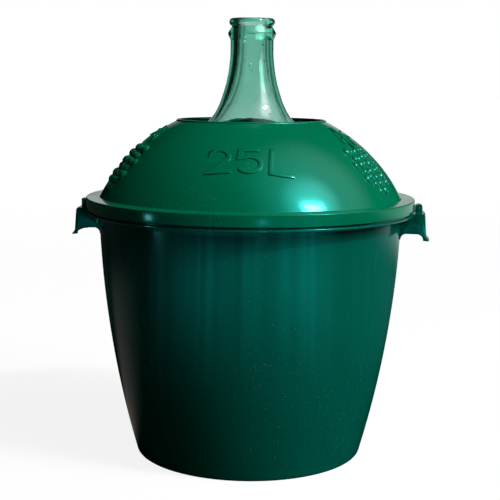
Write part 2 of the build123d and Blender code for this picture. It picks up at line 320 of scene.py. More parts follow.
class Shader:
    """A node tree under construction, with short ways to add to it."""

    def __init__(self, name: str) -> None:
        """Starts an empty material of that name."""
        self.material = bpy.data.materials.new(name)
        self.material.use_nodes = True
        self.tree = self.material.node_tree
        self.tree.nodes.clear()
        self.out = self.tree.nodes.new("ShaderNodeOutputMaterial")

    @classmethod
    def of_world(cls, world: bpy.types.World) -> "Shader":
        """Starts on the empty node tree of a world."""
        made = cls.__new__(cls)
        made.tree = world.node_tree
        made.tree.nodes.clear()
        made.out = made.tree.nodes.new("ShaderNodeOutputWorld")
        return made

    def grey(self, level: Socket) -> Socket:
        """A colour with the same value in each channel."""
        made = self.node("ShaderNodeCombineColor")
        for channel in made.inputs[:3]:
            self.link(level, channel)
        return made.outputs[0]

    def colour_sum(
        self, one: Socket, two: Socket
    ) -> Socket:
        """Adds two colours."""
        made = self.node("ShaderNodeVectorMath", operation="ADD")
        self.link(one, made.inputs[0])
        self.link(two, made.inputs[1])
        return made.outputs[0]

    def node(self, kind: str, **settings: object) -> bpy.types.Node:
        """Adds a node and sets its properties."""
        made = self.tree.nodes.new(kind)
        for key, value in settings.items():
            setattr(made, key, value)
        return made

    def put(self, node: bpy.types.Node, **values: object) -> None:
        """Sets inputs of a node, each named with _ for a space."""
        for key, value in values.items():
            node.inputs[key.replace("_", " ")].default_value = value

    def link(self, source: Socket, target: Socket) -> None:
        """Joins two sockets."""
        self.tree.links.new(source, target)

    def axes(self, vector: Socket) -> bpy.types.NodeOutputs:
        """Splits a vector into its X, Y and Z sockets."""
        made = self.node("ShaderNodeSeparateXYZ")
        self.link(vector, made.inputs[0])
        return made.outputs

    def bumps(
        self, height: Socket, strength: float, distance: float
    ) -> Socket:
        """Normal of a surface with fine relief."""
        made = self.node("ShaderNodeBump")
        self.put(made, Strength=strength, Distance=distance)
        self.link(height, made.inputs["Height"])
        return made.outputs["Normal"]

    def bands(self, along: Socket, scale: float, detail: float) -> Socket:
        """Noise between 0 and 1 along one measure."""
        made = self.node("ShaderNodeTexNoise", noise_dimensions="1D")
        self.put(made, Scale=scale, Detail=detail)
        self.link(along, made.inputs["W"])
        return made.outputs["Fac"]

    def glow(
        self, strength: Socket, colour: Colour = (1.0, 1.0, 1.0)
    ) -> Socket:
        """Light given off, as a shader."""
        made = self.node("ShaderNodeEmission")
        self.put(made, Color=(*colour, 1.0))
        self.link(strength, made.inputs["Strength"])
        return made.outputs[0]

    def product(self, *values: object) -> Socket:
        """Multiplies sockets or numbers, from the left."""
        whole = values[0]
        for value in values[1:]:
            whole = self.maths("MULTIPLY", whole, value)
        return whole

    def place(
        self, stretch: Colour = (1.0, 1.0, 1.0), turn: Colour = (0.0, 0.0, 0.0)
    ) -> Socket:
        """Object coordinates, in metres, turned and stretched along each axis."""
        where = self.node("ShaderNodeTexCoord")
        mapping = self.node("ShaderNodeMapping")
        self.put(mapping, Scale=stretch, Rotation=turn)
        self.link(where.outputs["Object"], mapping.inputs["Vector"])
        return mapping.outputs["Vector"]

    def cloud(self, where: Socket, scale: float, detail: float) -> Socket:
        """Cloudy noise between 0 and 1."""
        made = self.node("ShaderNodeTexNoise")
        self.put(made, Scale=scale, Detail=detail)
        self.link(where, made.inputs["Vector"])
        return made.outputs["Fac"]

    def ramp(
        self, source: Socket, low: float, high: float, to_low: float, to_high: float
    ) -> Socket:
        """Maps a range of a value to another range, smoothly, and clamps it.

        Args:
            source: The value.
            low: Start of its range.
            high: End of its range.
            to_low: Result at the start.
            to_high: Result at the end.

        Returns:
            The mapped value.
        """
        made = self.node("ShaderNodeMapRange", interpolation_type="SMOOTHSTEP")
        self.put(made, From_Min=low, From_Max=high, To_Min=to_low, To_Max=to_high)
        self.link(source, made.inputs["Value"])
        return made.outputs["Result"]

    def maths(self, kind: str, *values: object) -> Socket:
        """A calculation on sockets or numbers."""
        made = self.node("ShaderNodeMath", operation=kind)
        for n, value in enumerate(values):
            if isinstance(value, (int, float)):
                made.inputs[n].default_value = value
            else:
                self.link(value, made.inputs[n])
        return made.outputs["Value"]

    def blend(self, share: Socket, one: object, two: object) -> Socket:
        """Mixes two colours, each a colour or a socket."""
        made = self.node("ShaderNodeMix", data_type="RGBA")
        self.link(share, made.inputs["Factor"])
        for socket, value in ((made.inputs[6], one), (made.inputs[7], two)):
            if isinstance(value, Socket):
                self.link(value, socket)
            else:
                socket.default_value = (*value, 1.0)
        return made.outputs[2]


@dataclass(frozen=True)
class GlossPlastic:
    """Moulded gloss plastic with hand smudges, dust and fine scratches."""

    name: str
    colour: Colour
    deep: Colour
    roughness: float = 0.12
    smudge: float = 0.14
    coat: float = 0.015
    coat_roughness: float = 0.03
    shine: Colour = (0.03, 1.0, 0.95)
    ripple: float = 0.10
    relief: float = 0.3
    ior: float = 1.5
    dust: Colour = (0.16, 0.34, 0.28)
    dust_share: float = 0.22
    scratch_share: float = 0.012
    scratch_rough: float = 0.2

    def scratches(self, sh: Shader, turn: float, scale: float) -> Socket:
        """Fine straight scratches along one direction, broken into short lengths."""
        where = sh.place((1.0, 1.0, 0.05), (0.5 * turn, turn, 0.0))
        lines = sh.ramp(sh.cloud(where, scale, 0.0), 0.735, 0.76, 0.0, 1.0)
        here = sh.ramp(sh.cloud(sh.place(), 12.0, 2.0), 0.5, 0.62, 0.0, 1.0)
        return sh.maths("MULTIPLY", lines, here)

    def make(self) -> Finish:
        """Builds the material."""
        sh = Shader(self.name)
        skin = sh.node("ShaderNodeBsdfPrincipled")
        where = sh.place()
        patches = sh.ramp(sh.cloud(where, 7.0, 3.0), 0.35, 0.7, 0.0, 1.0)
        one_way, other_way = self.scratches(sh, 0.7, 260.0), self.scratches(sh, -1.1, 330.0)
        marks = sh.maths("MAXIMUM", one_way, other_way)
        specks = sh.ramp(sh.cloud(where, 700.0, 0.0), 0.77, 0.80, 0.0, 1.0)
        dust = sh.product(specks, patches, self.dust_share)
        tone = sh.blend(patches, self.colour, self.deep)
        worn = sh.maths("MAXIMUM", sh.product(marks, self.scratch_share), dust)
        sh.link(sh.blend(worn, tone, self.dust), skin.inputs["Base Color"])
        wipes = sh.cloud(sh.place((1.0, 1.0, 0.5)), 16.0, 6.0)
        wiped = sh.ramp(wipes, 0.4, 0.75, 0.0, self.smudge)
        rough = sh.maths("ADD", wiped, self.roughness)
        rough = sh.maths("ADD", rough, sh.product(marks, self.scratch_rough))
        sh.link(rough, skin.inputs["Roughness"])
        film = sh.ramp(sh.cloud(sh.place((1.0, 1.0, 0.4)), 22.0, 5.0), 0.45, 0.8, 0.0, 0.10)
        coat_rough = sh.maths("MULTIPLY_ADD", film, 0.4, self.coat_roughness)
        sh.link(coat_rough, skin.inputs["Coat Roughness"])
        sh.put(skin, IOR=self.ior, Specular_Tint=(*self.shine, 1.0))
        sh.put(skin, Coat_Weight=self.coat, Coat_IOR=self.ior)
        grain = sh.maths("MULTIPLY", sh.cloud(where, 9.0, 1.0), self.ripple)
        height = sh.maths("ADD", grain, sh.maths("MULTIPLY", marks, -0.01))
        relief = sh.bumps(height, self.relief, 0.002)
        sh.link(relief, skin.inputs["Normal"])
        sh.link(relief, skin.inputs["Coat Normal"])
        sh.link(skin.outputs["BSDF"], sh.out.inputs["Surface"])
        return sh.material


@dataclass(frozen=True)
class BottleGlass:
    """Pale green bottle glass that darkens with its thickness."""

    name: str = "bottle_glass"
    tint: Colour = (0.0, 0.72, 0.556)
    density: float = 97.0
    ior: float = 1.5
    surface: tuple[float, float, float, float] = (0.97, 1.0, 0.985, 1.0)

    def make(self) -> Finish:
        """Builds the material."""
        sh = Shader(self.name)
        skin = sh.node("ShaderNodeBsdfPrincipled")
        sh.put(skin, Base_Color=self.surface, Transmission_Weight=1.0, IOR=self.ior)
        cords = sh.cloud(sh.place((1.0, 1.0, 0.25)), 60.0, 3.0)
        film = sh.ramp(sh.cloud(sh.place(), 25.0, 4.0), 0.5, 0.8, 0.0, 0.05)
        sh.link(film, skin.inputs["Roughness"])
        sh.link(sh.bumps(cords, 0.25, 0.0006), skin.inputs["Normal"])
        body = sh.node("ShaderNodeVolumeAbsorption")
        sh.put(body, Color=(*self.tint, 1.0), Density=self.density)
        sh.link(skin.outputs["BSDF"], sh.out.inputs["Surface"])
        sh.link(body.outputs["Volume"], sh.out.inputs["Volume"])
        return sh.material


def dress(piece: bpy.types.Object, material: Finish, body: Body, node: Node) -> None:
    """Gives a piece its finish, its body and the solid that it stands for.

    Args:
        piece: The object.
        material: Its finish.
        body: The body that it rides on.
        node: The solid of the frame that it replaces.
    """
    piece.data.materials.clear()
    piece.data.materials.append(material)
    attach(piece, body.value)
    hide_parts(node.value)
    LOG.info("%s: %d faces, rides on %s", piece.name, len(piece.data.polygons), body.value)


@dataclass
class Tub:
    """The tub: bowed side, recessed floor, ledge and upstand, two handles."""

    wall: float = 3.0
    foot_radius: float = 139.0
    middle_radius: float = 171.1
    rim_radius: float = 184.4
    height: float = 296.5
    foot_round: float = 4.0
    foot_rim: float = 6.0
    floor_recess: float = 4.5
    ledge_radius: float = 199.0
    upstand_radius: float = 196.4
    upstand_top: float = 312.9
    ring_radius: float = 62.0
    under_ribs: int = 8
    seat_ribs: int = 12
    rib_width: float = 2.5
    handle_half: float = 29.0
    handle_reach: float = 213.0
    handle_low: float = 268.2
    handle_top: float = 300.7
    handle_lean: float = 2.0
    lip_rise: float = 5.0
    lip_width: float = 2.6
    lip_reach: float = 219.0
    skirt_clear: float = 200.8
    arch_top: float = 276.2
    arch_round: float = 7.0
    catch_half: float = 7.5
    catch_reach: float = 209.5
    catch_top: float = 310.0
    catch_round_right: float = 3.8
    catch_round_left: float = 0.9
    steps: int = 192

    @property
    def ledge_top(self) -> float:
        """Height of the ledge's upper face."""
        return self.height + self.wall

    def shell(self) -> Mesh:
        """Side, floor, ledge and upstand, turned from one outline."""
        thick = self.wall
        floor_top = self.floor_recess + thick
        half = self.height / 2
        line = Outline().to(0.0, self.floor_recess)
        line.to(self.foot_radius - self.foot_rim, self.floor_recess, 0.5)
        line.to(self.foot_radius - self.foot_rim, 0.0, 0.8)
        line.to(self.foot_radius, 0.0, self.foot_round)
        line.arc((self.middle_radius, half), (self.rim_radius, self.height), 44, 1.2)
        line.to(self.ledge_radius, self.height, 1.0).to(self.ledge_radius, self.ledge_top, 1.0)
        line.to(self.upstand_radius, self.ledge_top, 0.3)
        line.to(self.upstand_radius, self.upstand_top, 0.5)
        line.to(self.upstand_radius - thick, self.upstand_top, 0.5)
        line.to(self.upstand_radius - thick, self.ledge_top, 0.3)
        line.to(self.rim_radius - thick, self.ledge_top, 0.5)
        line.to(self.rim_radius - thick, self.height)
        line.arc(
            (self.middle_radius - thick, half), (self.foot_radius - thick + 1.8, floor_top), 40, 2.0
        )
        line.to(0.0, floor_top)
        return turned(line.points(), self.steps)

    def ribs(self) -> list[Mesh]:
        """Ring and spokes under the floor, and the ribs that the bottle stands on."""
        low, high = self.floor_recess - 3.0, self.floor_recess + 0.5
        ring = Outline().to(self.ring_radius - self.rib_width, high)
        ring.to(self.ring_radius - self.rib_width, low, 0.4).to(self.ring_radius, low, 0.4)
        ring.to(self.ring_radius, high).to(self.ring_radius - self.rib_width, high)
        made = [turned(ring.points(), 96)]
        outer = self.foot_radius - self.foot_rim + 0.5
        for n in range(self.under_ribs):
            middle = Vector(((self.ring_radius + outer) / 2, 0, (low + high) / 2))
            turn = FULL_TURN * n / self.under_ribs
            made.append(bar(outer - self.ring_radius, self.rib_width, high - low, middle, turn))
        floor_top = self.floor_recess + self.wall
        for n in range(self.seat_ribs):
            middle = Vector((102.0, 0, floor_top + 1.0))
            turn = FULL_TURN * (n + 0.5) / self.seat_ribs
            made.append(bar(48.0, self.rib_width, 2.9, middle, turn))
        return made

    def grip_skin(self) -> list[Point]:
        """Outer line of a grip's section, from the lip up to beside the skirt."""
        lip_height = self.handle_low + self.lip_rise
        line = Outline().to(self.lip_reach - self.lip_width, self.handle_low)
        line.to(self.lip_reach, self.handle_low, 1.0)
        line.to(self.handle_reach + self.handle_lean, lip_height, 3.0)
        line.to(self.handle_reach, self.handle_top, 3.5)
        line.to(self.skirt_clear, self.handle_top, 0.6)
        line.to(self.skirt_clear, self.ledge_top)
        return line.points()

    def grip(self) -> Mesh:
        """Riser, top and outer wall of a handle, between its end webs."""
        thick = self.wall
        line = Outline([(x, z, 0.0) for x, z in self.grip_skin()])
        line.to(self.ledge_radius - 2.0, self.ledge_top - 0.1)
        line.to(self.ledge_radius - 2.0, self.height + 0.1)
        line.to(self.skirt_clear + thick, self.height + 0.1, 0.5)
        line.to(self.skirt_clear + thick, self.handle_top - thick, 1.2)
        line.to(self.handle_reach - thick, self.handle_top - thick, 2.5)
        lip_height = self.handle_low + self.lip_rise
        line.to(self.handle_reach + self.handle_lean - thick, lip_height, 2.0)
        angle = math.asin(self.handle_half / self.handle_reach) - 0.5 * thick / self.handle_reach
        return swept(line.points(), angle, 28)

    def web(self, side: float) -> Mesh:
        """One end plate of a handle, arched below, on one side of +X.

        Args:
            side: 1 or -1, the end of the handle.

        Returns:
            The plate's mesh.
        """
        line = Outline([(x, z, 0.0) for x, z in self.grip_skin()])
        line.to(self.ledge_radius - 1.0, self.ledge_top - 0.1)
        line.to(self.rim_radius - 2.4, self.ledge_top - 0.4)
        line.to(self.rim_radius - 2.4, self.handle_low + 1.0)
        line.to(self.rim_radius, self.handle_low + 1.0)
        near, far = self.rim_radius + 0.2, self.handle_reach - self.wall / 2
        top, full = self.arch_top, self.arch_round
        cut = full * (1.0 - math.sqrt(0.5))
        line.to(near, top - full).arc((near + cut, top - cut), (near + full, top), 8)
        line.to(far - full, top).arc((far - cut, top - cut), (far, top - full), 8)
        line.to(far + 0.4, self.handle_low + 0.4)
        half_thick = self.wall / 2 / self.handle_reach
        plate = swept(line.points(steps=9), half_thick, 2)
        soften(plate, 0.55)
        turn_round(plate, side * (math.asin(self.handle_half / self.handle_reach) - half_thick))
        return plate

    def catch(self, rounding: float) -> Mesh:
        """The upright catch on a handle.

        Args:
            rounding: Rounding of its two top edges, in millimetres.

        Returns:
            The catch's mesh.
        """
        line = Outline().to(self.skirt_clear, self.handle_top - 1.0)
        line.to(self.catch_reach, self.handle_top - 1.0)
        line.to(self.catch_reach, self.catch_top, rounding)
        line.to(self.skirt_clear, self.catch_top, rounding)
        line.to(self.skirt_clear, self.handle_top - 1.0)
        made = swept(line.points(steps=8)[:-1], math.asin(self.catch_half / self.catch_reach), 6)
        soften(made, 0.6)
        return made

    def handle(self, side: Side) -> Mesh:
        """A whole handle with its catch, on its side of the tub."""
        rounding = self.catch_round_right if side is Side.RIGHT else self.catch_round_left
        whole = joined([self.grip(), self.web(1.0), self.web(-1.0), self.catch(rounding)])
        if side is Side.LEFT:
            turn_round(whole, math.pi)
        return whole

    def build(self, plastic: Finish) -> None:
        """Builds and dresses the tub and its handles."""
        pieces = [
            finished("tub_shell", joined([self.shell(), *self.ribs()])),
            finished("tub_handle_right", self.handle(Side.RIGHT)),
            finished("tub_handle_left", self.handle(Side.LEFT)),
        ]
        for piece in pieces:
            dress(piece, plastic, Body.BASKET, Node.TUB)


@dataclass
class Dome:
    """The cover's spherical dome, and places on it."""

    radius: float = 206.0
    flange_top: float = 316.0
    base_radius: float = 183.6

    @property
    def centre(self) -> float:
        """Height of the sphere's centre."""
        return self.flange_top - math.sqrt(self.radius**2 - self.base_radius**2)

    def height_at(self, radius: float, inset: float = 0.0) -> float:
        """Height of the dome at a distance from the axis."""
        return self.centre + math.sqrt((self.radius - inset) ** 2 - radius**2)

    def spot(self, azimuth: float, side_way: float, rise: float, lift: float) -> Vector:
        """A place on or over the dome.

        Args:
            azimuth: Degrees from the front to the middle line.
            side_way: Distance round the dome from that line, in millimetres.
            rise: Distance up the dome from the flange.
            lift: Distance out of the dome.

        Returns:
            The place, in metres.
        """
        latitude = math.asin((self.flange_top - self.centre) / self.radius) + rise / self.radius
        turn = math.radians(azimuth) + side_way / (self.radius * math.cos(latitude))
        reach = self.radius + lift
        flat = reach * math.cos(latitude)
        height = self.centre + reach * math.sin(latitude)
        return Vector((flat * math.sin(turn), -flat * math.cos(turn), height)) * MM

    def wrap(self, bm: Mesh, azimuth: float) -> None:
        """Lays a flat mesh, in millimetres, onto the dome.

        Args:
            bm: The mesh: X round the dome, Y up it, Z out of it.
            azimuth: Degrees from the front to its middle line.
        """
        for vert in bm.verts:
            vert.co = self.spot(azimuth, vert.co.x, vert.co.y, vert.co.z)


@dataclass
class Vine:
    """The vine relief: a bunch of grapes under a leaf and a stem."""

    dome: Dome
    azimuth: float = 67.5
    rise: float = 75.5
    rows: tuple[int, ...] = (5, 5, 6, 5, 5, 4, 2)
    grape_radius: float = 6.0
    grape_sink: float = 3.0
    scatter: float = 1.7
    size_spread: float = 0.16
    pitch: float = 10.0
    row_step: float = 9.7
    stagger: float = 2.5
    leaf_size: float = 25.0
    leaf_side_step: float = 8.0
    leaf_rise: float = 26.0
    leaf_height: float = 1.8

    def grapes(self) -> Mesh:
        """All the grapes of the bunch, let into the dome."""
        whole = bmesh.new()
        dice = random.Random(11)
        for row, count in enumerate(self.rows):
            stagger = self.stagger if row % 2 else -self.stagger
            for place in range(count):
                side_way = (place - (count - 1) / 2) * self.pitch + stagger
                side_way += dice.uniform(-self.scatter, self.scatter)
                rise = self.rise - row * self.row_step + dice.uniform(-self.scatter, self.scatter)
                size = self.grape_radius * (1.0 + dice.uniform(-self.size_spread, self.size_spread))
                sink = self.grape_sink + dice.uniform(-0.5, 0.7)
                middle = self.dome.spot(self.azimuth, side_way, rise, -sink)
                bmesh.ops.create_uvsphere(
                    whole, u_segments=24, v_segments=14, radius=size * MM,
                    matrix=Matrix.Translation(middle),
                )
        return whole

    def leaf_edge(self) -> list[Point]:
        """Outline of the lobed leaf with small teeth, longest lobe downwards."""
        tips, notches, step = (1.0, 0.88, 0.7), (0.68, 0.6, 0.42), math.radians(30)
        half = []
        for n, (tip, notch) in enumerate(zip(tips, notches)):
            for reach, angle in ((tip, 2 * n * step), (notch, (2 * n + 1) * step)):
                half.append((reach * math.sin(angle), -reach * math.cos(angle)))
        ring = half + [(-x, y) for x, y in reversed(half[1:])]
        points = []
        for n, (x, y) in enumerate(ring):
            after = ring[(n + 1) % len(ring)]
            for part in range(6):
                t = part / 6
                tooth = 1.0 + (0.035 if part % 2 else -0.02)
                px, py = x + (after[0] - x) * t, y + (after[1] - y) * t
                points.append((self.leaf_size * px * tooth, self.leaf_size * py * tooth))
        return points

    def leaf(self) -> Mesh:
        """The leaf, crowned towards its middle, with raised veins."""
        bm = bmesh.new()
        rim = self.leaf_edge()
        rings = 7
        loops = []
        for ring in range(rings):
            share = 1.0 - ring / rings
            lift = self.leaf_height * (0.35 + 0.65 * math.sin(math.pi / 2 * (1 - share)))
            loops.append([bm.verts.new((x * share, y * share, lift)) for x, y in rim])
        count = len(rim)
        for outer, inner in zip(loops, loops[1:]):
            for n in range(count):
                m = (n + 1) % count
                bm.faces.new((outer[n], outer[m], inner[m], inner[n]))
        bm.faces.new(loops[-1])
        skirt = bmesh.ops.extrude_edge_only(bm, edges=[e for e in bm.edges if e.is_boundary])
        for vert in (g for g in skirt["geom"] if isinstance(g, bmesh.types.BMVert)):
            vert.co.z = -1.2
        middle = (self.leaf_side_step, self.rise + self.leaf_rise, 0)
        bmesh.ops.translate(bm, vec=middle, verts=bm.verts[:])
        bmesh.ops.recalc_face_normals(bm, faces=bm.faces[:])
        self.dome.wrap(bm, self.azimuth)
        return bm

    def vein(self, start: Point, end: Point, width: float, lift: float) -> Mesh:
        """A tapered raised line on the dome, such as a vein or the stem.

        Args:
            start: Its thick end, side way and rise, in millimetres.
            end: Its thin end.
            width: Width at the thick end.
            lift: Height out of the dome.

        Returns:
            The line's mesh.
        """
        bm = bmesh.new()
        run = Vector(end) - Vector(start)
        parts = 12
        sections = []
        for n in range(parts + 1):
            t = n / parts
            half = 0.5 * width * (1.0 - 0.6 * t)
            across = Vector((-run.y, run.x)).normalized() * half
            middle = Vector(start) + run * t
            section = []
            for m in range(7):
                angle = math.pi * m / 6
                side = across * math.cos(angle)
                height = lift * math.sin(angle) ** 0.7 - 1.0 if 0 < m < 6 else -1.0
                section.append(bm.verts.new((middle.x + side.x, middle.y + side.y, height)))
            sections.append(section)
        for one, two in zip(sections, sections[1:]):
            for m in range(6):
                bm.faces.new((one[m], one[m + 1], two[m + 1], two[m]))
        bm.faces.new(sections[0])
        bm.faces.new(sections[-1])
        bmesh.ops.recalc_face_normals(bm, faces=bm.faces[:])
        self.dome.wrap(bm, self.azimuth)
        return bm

    def twigs(self) -> list[Mesh]:
        """The stem, and the veins of the leaf."""
        root = (self.leaf_side_step, self.rise + self.leaf_rise + 4.0)
        made = [self.vein((0.0, self.rise + 42.0), (0.0, self.rise - 2.0), 4.6, 4.2)]
        for angle, reach in ((0, 22), (-58, 17), (58, 17), (-118, 12), (118, 12)):
            turn = math.radians(angle)
            end = (root[0] + reach * math.sin(turn), root[1] - reach * math.cos(turn))
            made.append(self.vein(root, end, 2.0, self.leaf_height + 1.7))
        return made

    def build(self, plastic: Finish) -> None:
        """Builds and dresses both reliefs."""
        for side in Side:
            bm = joined([self.grapes(), self.leaf(), *self.twigs()])
            if side is Side.LEFT:
                bmesh.ops.scale(bm, vec=(-1.0, 1.0, 1.0), verts=bm.verts[:])
                bmesh.ops.reverse_faces(bm, faces=bm.faces[:])
            piece = finished(f"vine_relief_{side.name.lower()}", bm, 55.0)
            dress(piece, plastic, Body.COVER, Node.COVER)


@dataclass
class CapacityMark:
    """The raised capacity figure on the front of the dome, in plain strokes."""

    dome: Dome
    azimuth: float = 4.0
    low: float = 47.0
    height: float = 36.0
    width: float = 5.2
    lift: float = 1.15

    def strokes(self) -> list[list[Point]]:
        """Middle lines of the strokes, side way and rise, in millimetres."""
        low, high = self.low + self.width / 2, self.low + self.height - self.width / 2
        two = [(-41.5, high - 4.5)]
        top = Vector((-32.0, high - 8.5))
        for n in range(13):
            angle = math.radians(160 - 195 * n / 12)
            two.append((top.x + 10.5 * math.cos(angle), top.y + 9.5 * math.sin(angle)))
        two += [(-43.5, low - 1.6), (-19.0, low + 1.2)]
        five = [(12.0, high + 1.5), (-9.0, high + 1.5), (-10.5, low + 20.0)]
        bowl = Vector((1.0, low + 11.5))
        for n in range(15):
            angle = math.radians(115 - 265 * n / 14)
            five.append((bowl.x + 13.0 * math.cos(angle), bowl.y + 10.8 * math.sin(angle)))
        ell = [(25.5, high + 3.5), (24.8, low - 1.0), (52.0, low - 6.0)]
        return [two, five, ell]

    def ribbon(self, path: list[Point]) -> Mesh:
        """One stroke as a raised ribbon with mitred bends.

        Args:
            path: Its middle line.

        Returns:
            Its mesh, laid on the dome.
        """
        bm = bmesh.new()
        runs = [(Vector(b) - Vector(a)).normalized() for a, b in zip(path, path[1:])]
        sides = []
        for n, place in enumerate(path):
            one, two = runs[max(n - 1, 0)], runs[min(n, len(runs) - 1)]
            normal = Vector((-(one + two).y, (one + two).x)).normalized()
            reach = self.width / 2 / max(normal.dot(Vector((-one.y, one.x))), 0.4)
            edges = (Vector(place) + normal * reach, Vector(place) - normal * reach)
            sides.append([bm.verts.new((edge.x, edge.y, 0.0)) for edge in edges])
        for one, two in zip(sides, sides[1:]):
            bm.faces.new((one[0], one[1], two[1], two[0]))
        bmesh.ops.subdivide_edges(
            bm, edges=[e for e in bm.edges if e.calc_length() > 7.0], cuts=4, use_grid_fill=True
        )
        grown = bmesh.ops.extrude_face_region(bm, geom=bm.faces[:])
        for vert in (g for g in grown["geom"] if isinstance(g, bmesh.types.BMVert)):
            vert.co.z = self.lift
        for vert in bm.verts:
            if vert.co.z == 0.0:
                vert.co.z = -0.8
        bmesh.ops.recalc_face_normals(bm, faces=bm.faces[:])
        for vert in bm.verts:
            vert.co *= MM
        soften(bm, 0.28)
        for vert in bm.verts:
            vert.co /= MM
        self.dome.wrap(bm, self.azimuth)
        return bm

    def build(self, plastic: Finish) -> None:
        """Builds and dresses the mark."""
        piece = finished("capacity_mark", joined([self.ribbon(p) for p in self.strokes()]), 50.0)
        dress(piece, plastic, Body.COVER, Node.COVER)


@dataclass
class Cover:
    """The cover: dome, flange, skirt and the bead round its hole."""

    dome: Dome
    wall: float = 3.0
    radius: float = 200.0
    skirt_low: float = 302.0
    hole_radius: float = 89.0
    bead: float = 2.2
    steps: int = 224

    def shell(self) -> Mesh:
        """The whole cover, turned from one outline."""
        dome, thick = self.dome, self.wall
        top = dome.flange_top
        bead_middle = dome.height_at(self.hole_radius) - self.bead / 2
        outer = self.hole_radius + self.bead
        line = Outline().to(outer, dome.height_at(outer))
        middle = (outer + dome.base_radius) / 2
        line.arc((middle, dome.height_at(middle)), (dome.base_radius, top), 56, 1.4)
        line.to(self.radius, top, 1.5).to(self.radius, self.skirt_low, 0.6)
        line.to(self.radius - thick, self.skirt_low, 0.6)
        line.to(self.radius - thick, top - thick, 0.8)
        inner_base = math.sqrt((dome.radius - thick) ** 2 - (top - thick - dome.centre) ** 2)
        line.to(inner_base, top - thick)
        inner_top = self.hole_radius - 0.6
        inner_end = (inner_top, dome.height_at(inner_top, thick))
        line.arc((middle, dome.height_at(middle, thick)), inner_end, 40)
        ring = 12
        for n in range(ring + 1):
            angle = math.radians(-112 - 248 * n / ring)
            rise = self.bead * math.sin(angle)
            line.to(self.hole_radius + self.bead * math.cos(angle), bead_middle + rise)
        line.to(outer, dome.height_at(outer))
        return turned(line.points(), self.steps)

    def build(self, plastic: Finish, inside: Finish) -> None:
        """Builds the cover's shell and dresses its outside, and its inside with a rougher finish
        painted darker as shade.
        """
        piece = finished("cover_shell", self.shell())
        dress(piece, plastic, Body.COVER, Node.COVER)
        piece.data.materials.append(inside)
        # Faces turned to the axis or downwards get the second finish: rougher, as moulded, and
        # darker as painted shade for the unlit inside.
        for face in piece.data.polygons:
            inwards = face.normal.x * face.center.x + face.normal.y * face.center.y < 0.0
            face.material_index = 1 if inwards or face.normal.z < -0.1 else 0


